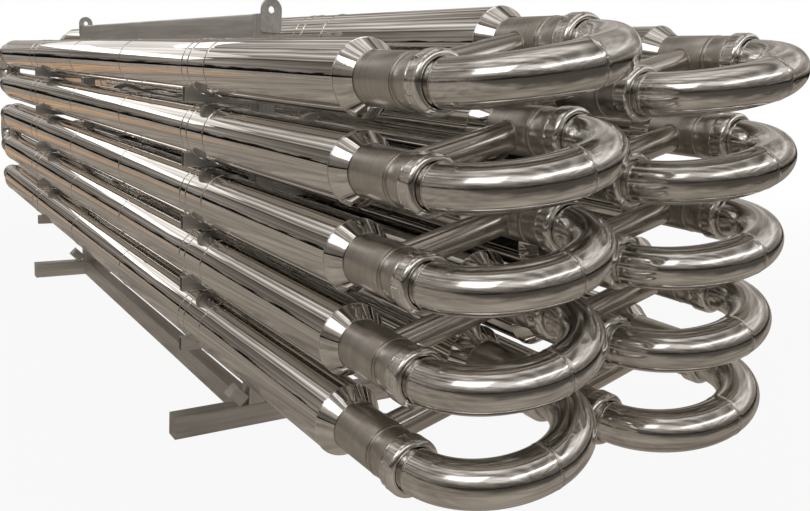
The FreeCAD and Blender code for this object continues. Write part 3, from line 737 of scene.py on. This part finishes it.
def stage_floor():
    """White to the camera, with the object's shadow. The steel shows that white where the floor
    is clean."""
    mesh = bpy.data.meshes.new("floor")
    low, high = -FLOOR_REACH, FLOOR_REACH
    corners = [(low, low, 0), (high, low, 0), (high, high, 0), (low, high, 0)]
    mesh.from_pydata(corners, [], [(0, 1, 2, 3)])
    floor = bpy.data.objects.new("floor", mesh)
    bpy.context.scene.collection.objects.link(floor)
    material, tree, shader = nodes_of("pale_floor")
    shader.inputs["Base Color"].default_value = (*FLOOR_COLOUR, 1)
    shader.inputs["Roughness"].default_value = FLOOR_ROUGHNESS
    rays = tree.nodes.new("ShaderNodeLightPath")
    glossy_ray = rays.outputs["Is Glossy Ray"]
    place = tree.nodes.new("ShaderNodeTexCoord")
    ground = place.outputs["Object"]

    light = tree.nodes.new("ShaderNodeEmission")
    colour = blend_colour(tree, glossy_ray, WHITE, floor_tone(tree, ground))
    tree.links.new(colour, light.inputs["Color"])
    reach = vector_math(tree, "LENGTH", ground).outputs["Value"]
    fade = ranged(tree, reach, WHITE_NEAR, WHITE_FAR, FADE_START, FADE_END)
    seen = arithmetic(tree, "MULTIPLY", background_ray(tree, rays), fade)
    mirrored = arithmetic(tree, "MULTIPLY", glossy_ray, GLOSSY_SHARE)
    mix = tree.nodes.new("ShaderNodeMixShader")
    tree.links.new(arithmetic(tree, "MAXIMUM", seen, mirrored), mix.inputs["Fac"])
    tree.links.new(shader.outputs["BSDF"], mix.inputs[1])
    tree.links.new(light.outputs["Emission"], mix.inputs[2])
    tree.links.new(mix.outputs["Shader"], tree.nodes["Material Output"].inputs["Surface"])
    mesh.materials.append(material)


# Greys by height, as the sine of the angle above the horizon
LOWEST, HIGHEST = -0.2, 1.0
AHEAD = ((-0.20, 0.03), (0.05, 0.02), (0.09, 0.14), (0.20, 0.20), (0.38, 0.36),
         (0.52, 0.95), (0.66, 1.00), (0.76, 0.38), (0.90, 0.30), (1.00, 0.95))
BEHIND = ((-0.20, 0.10), (-0.04, 0.08), (-0.03, 0.012), (0.035, 0.02), (0.055, 0.38), (0.13, 0.42),
          (0.25, 0.34), (0.36, 0.44), (0.50, 0.50), (0.80, 0.28), (0.92, 0.70), (1.00, 0.95))
UNREST_SHARE, RAGGED_SHARE = 0.16, 0.17
CONTRAST = 1.14
AMBIENT = (0.42, 0.41, 0.40)
DARK_TINT, LIGHT_TINT = (1.0, 0.88, 0.76), (1.0, 0.975, 0.95)


def shade_of(tree, height, stops):
    """A grey that depends on height, from stops of height and grey."""
    ramp = tree.nodes.new("ShaderNodeValToRGB")
    tree.links.new(ranged(tree, height, 0.0, 1.0, LOWEST, HIGHEST), ramp.inputs["Fac"])
    while len(ramp.color_ramp.elements) < len(stops):
        ramp.color_ramp.elements.new(0.5)
    for element, (position, grey) in zip(ramp.color_ramp.elements, stops):
        element.position = (position - LOWEST) / (HIGHEST - LOWEST)
        element.color = (grey, grey, grey, 1)
    return ramp.outputs["Color"]


def streaks_along(tree, way):
    """Streaks that run along the tubes, broken by clouds."""
    flat = vector_math(tree, "MULTIPLY", way)
    flat.inputs[1].default_value = (1, 0, 1)
    about = vector_math(tree, "NORMALIZE", flat.outputs["Vector"]).outputs["Vector"]
    broad = ranged(tree, noise(tree, about, (1.7, 1.7, 1.7), 3.0, 0.6), 0.60, 1.20, 0.38, 0.60)
    thin = ranged(tree, noise(tree, about, (7.0, 7.0, 7.0), 4.0, 0.7), 0.36, 1.90, 0.34, 0.68)
    clouds = noise(tree, way, (5.0, 5.0, 5.0), 5.0, 0.6, 0.5)
    clouds = ranged(tree, clouds, 0.68, 1.30, 0.36, 0.64)
    return arithmetic(tree, "MULTIPLY", arithmetic(tree, "MULTIPLY", broad, thin), clouds)


def studio():
    """White to the camera. The steel shows that white too, behind the dark skyline and the roof
    of a yard."""
    world = bpy.data.worlds.new("studio")
    bpy.context.scene.world = world
    world.use_nodes = True
    tree = world.node_tree
    back = tree.nodes["Background"]
    place = tree.nodes.new("ShaderNodeTexCoord")
    way = place.outputs["Generated"]
    split = tree.nodes.new("ShaderNodeSeparateXYZ")
    tree.links.new(way, split.inputs["Vector"])
    height = split.outputs["Z"]
    for pattern, share in ((noise(tree, way, (6.0, 6.0, 6.0), 3.0, 0.6), UNREST_SHARE),
                           (noise(tree, way, (45.0, 45.0, 20.0), 4.0, 0.6), RAGGED_SHARE)):
        offset = arithmetic(tree, "MULTIPLY", arithmetic(tree, "SUBTRACT", pattern, 0.5), share)
        height = arithmetic(tree, "ADD", height, offset)

    turned = ranged(tree, split.outputs["Y"], 0.0, 1.0, -0.25, 0.25)
    ahead, behind = shade_of(tree, height, AHEAD), shade_of(tree, height, BEHIND)
    shade = blend_colour(tree, turned, ahead, behind)
    shade = arithmetic(tree, "MULTIPLY", shade, streaks_along(tree, way))
    shade = arithmetic(tree, "POWER", shade, CONTRAST)

    rays = tree.nodes.new("ShaderNodeLightPath")
    glossy_ray = rays.outputs["Is Glossy Ray"]
    mirrored = arithmetic(tree, "MULTIPLY", glossy_ray, shade)
    white = arithmetic(tree, "MAXIMUM", background_ray(tree, rays), mirrored)
    dim = blend_colour(tree, glossy_ray, AMBIENT, BLACK)
    tint = blend_colour(tree, shade, DARK_TINT, LIGHT_TINT)
    tone = blend_colour(tree, glossy_ray, WHITE, tint)
    tree.links.new(blend_colour(tree, white, dim, tone), back.inputs["Color"])
    back.inputs["Strength"].default_value = 1.0


def lamp(name, place, aim, size, radiance, colour=(1, 1, 1)):
    """A soft box whose face has a given brightness. Its size is its width across and its length
    up or away."""
    light = bpy.data.lights.new(name, "AREA")
    light.shape = "RECTANGLE"
    light.size, light.size_y = size
    light.energy = radiance * math.pi * size[0] * size[1]
    light.color = colour
    piece = bpy.data.objects.new(name, light)
    piece.location = place
    piece.rotation_euler = (Vector(aim) - Vector(place)).to_track_quat("-Z", "Y").to_euler()
    piece.visible_camera = False
    bpy.context.scene.collection.objects.link(piece)


stage_floor()
studio()
lamp("key", (-6.0, -4.5, 6.0), (0, -1.5, 0.9), (4.0, 3.0), 1.4)
lamp("front", (0.8, -9.0, 5.8), (0.2, -3.0, 0.9), (8.5, 0.9), 1.35)
lamp("far_sky", (-2.9, 12.0, 4.2), (-0.6, 0, 1.2), (4.4, 0.9), 1.3, (1.0, 0.98, 0.95))
lamp("far_glow", (-1.6, 13.0, 5.3), (-0.6, 0, 1.2), (7.0, 2.6), 0.62, (1.0, 0.97, 0.94))
lamp("high_sky", (0.3, 12.0, 6.7), (-0.6, 0, 1.2), (3.6, 0.8), 1.3, (1.0, 0.98, 0.95))

# The camera, as fitted to the photo: its focal length and the picture's width in pixels
FOCAL_LENGTH, PICTURE_WIDTH, SENSOR_WIDTH = 820.1, 810, 36
SHIFT_X, SHIFT_Y, VIEW_END = 0.0374, -0.0295, 200
CAMERA_PLACE = (-1.847, -4.5954, 1.552)
RIGHT = Vector((0.8402, -0.5392, 0.0584))
UP = Vector((0.0534, 0.1895, 0.9805))
FORWARD = Vector((0.5397, 0.8206, -0.1880))

camera_data = bpy.data.cameras.new("camera")
camera = bpy.data.objects.new("camera", camera_data)
turn = Matrix((RIGHT, UP, -FORWARD)).transposed()
camera.matrix_world = Matrix.Translation(CAMERA_PLACE) @ turn.to_4x4()
camera_data.sensor_width = SENSOR_WIDTH
camera_data.lens = FOCAL_LENGTH / PICTURE_WIDTH * SENSOR_WIDTH
camera_data.shift_x = SHIFT_X
camera_data.shift_y = SHIFT_Y
camera_data.clip_end = VIEW_END
bpy.context.scene.collection.objects.link(camera)
bpy.context.scene.camera = camera
bpy.context.scene.view_settings.view_transform = "Standard"
